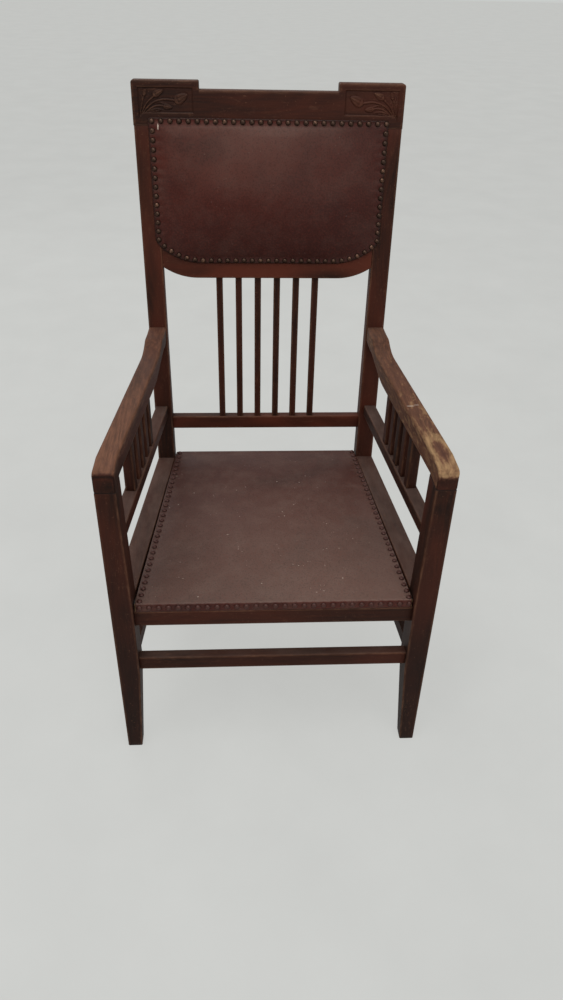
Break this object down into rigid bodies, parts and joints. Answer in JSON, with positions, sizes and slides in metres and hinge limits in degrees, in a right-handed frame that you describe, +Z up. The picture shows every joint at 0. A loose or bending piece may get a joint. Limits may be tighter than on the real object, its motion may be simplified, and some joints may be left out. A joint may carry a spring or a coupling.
{
  "type": "high-backed open armchair",
  "caption": "High-backed open armchair with a nailed leather back panel, a crest rail with raised ends, slats under the arms and in the lower back, and a loose leather seat.",
  "frame": {"origin": "on the floor, midway across the width and midway along the depth of the chair", "axes": "+Z up; +Y from the front legs to the back; +X to the right seen from the front"},
  "size_m": [0.604, 0.59, 1.18],
  "materials": {
    "frame_wood": "dark stained and waxed hardwood, worn",
    "rail_wood": "red-brown stained and waxed hardwood",
    "inner_wood": "bare secondary wood",
    "leather": "dusty red-brown leather, slightly glossy",
    "canvas": "unbleached canvas over stuffing",
    "webbing": "woven jute webbing",
    "nails": "darkened domed brass nail heads"
  },
  "bodies": {
    "frame": {"front_leg_left": "frame_wood", "front_leg_right": "frame_wood", "rear_post_left": "frame_wood", "rear_post_right": "frame_wood", "crest_rail": "frame_wood", "back_middle_rail": "rail_wood", "lower_back_rail": "frame_wood", "back_slat_1": "frame_wood", "back_slat_2": "frame_wood", "back_slat_3": "frame_wood", "back_slat_4": "frame_wood", "back_slat_5": "frame_wood", "back_slat_6": "frame_wood", "seat_rail_front": "frame_wood", "seat_rail_rear": "frame_wood", "seat_rail_left": "frame_wood", "seat_rail_right": "frame_wood", "seat_bearer_left": "inner_wood", "seat_bearer_right": "inner_wood", "stretcher_front": "frame_wood", "stretcher_rear": "frame_wood", "stretcher_left": "frame_wood", "stretcher_right": "frame_wood", "arm_left": "frame_wood", "arm_right": "frame_wood", "arm_rail_left": "frame_wood", "arm_rail_right": "frame_wood", "side_slat_left_1": "frame_wood", "side_slat_left_2": "frame_wood", "side_slat_left_3": "frame_wood", "side_slat_left_4": "frame_wood", "side_slat_left_5": "frame_wood", "side_slat_right_1": "frame_wood", "side_slat_right_2": "frame_wood", "side_slat_right_3": "frame_wood", "side_slat_right_4": "frame_wood", "side_slat_right_5": "frame_wood", "back_canvas": "canvas", "back_stuffing": "canvas", "back_leather": "leather", "back_nails": "nails", "back_outer_cover": "leather", "outer_cover_nails": "nails"},
    "seat": {"seat_bar_front": "inner_wood", "seat_bar_rear": "inner_wood", "seat_bar_left": "inner_wood", "seat_bar_right": "inner_wood", "seat_webbing": "webbing", "seat_canvas": "canvas", "seat_stuffing": "canvas", "seat_leather": "leather", "seat_nails": "nails"}
  },
  "joints": [
    {"name": "seat_lift", "type": "slide", "parent": "frame", "child": "seat", "axis": [0, -0.1478, 0.989], "range_m": [0, 0.36]}
  ]
}
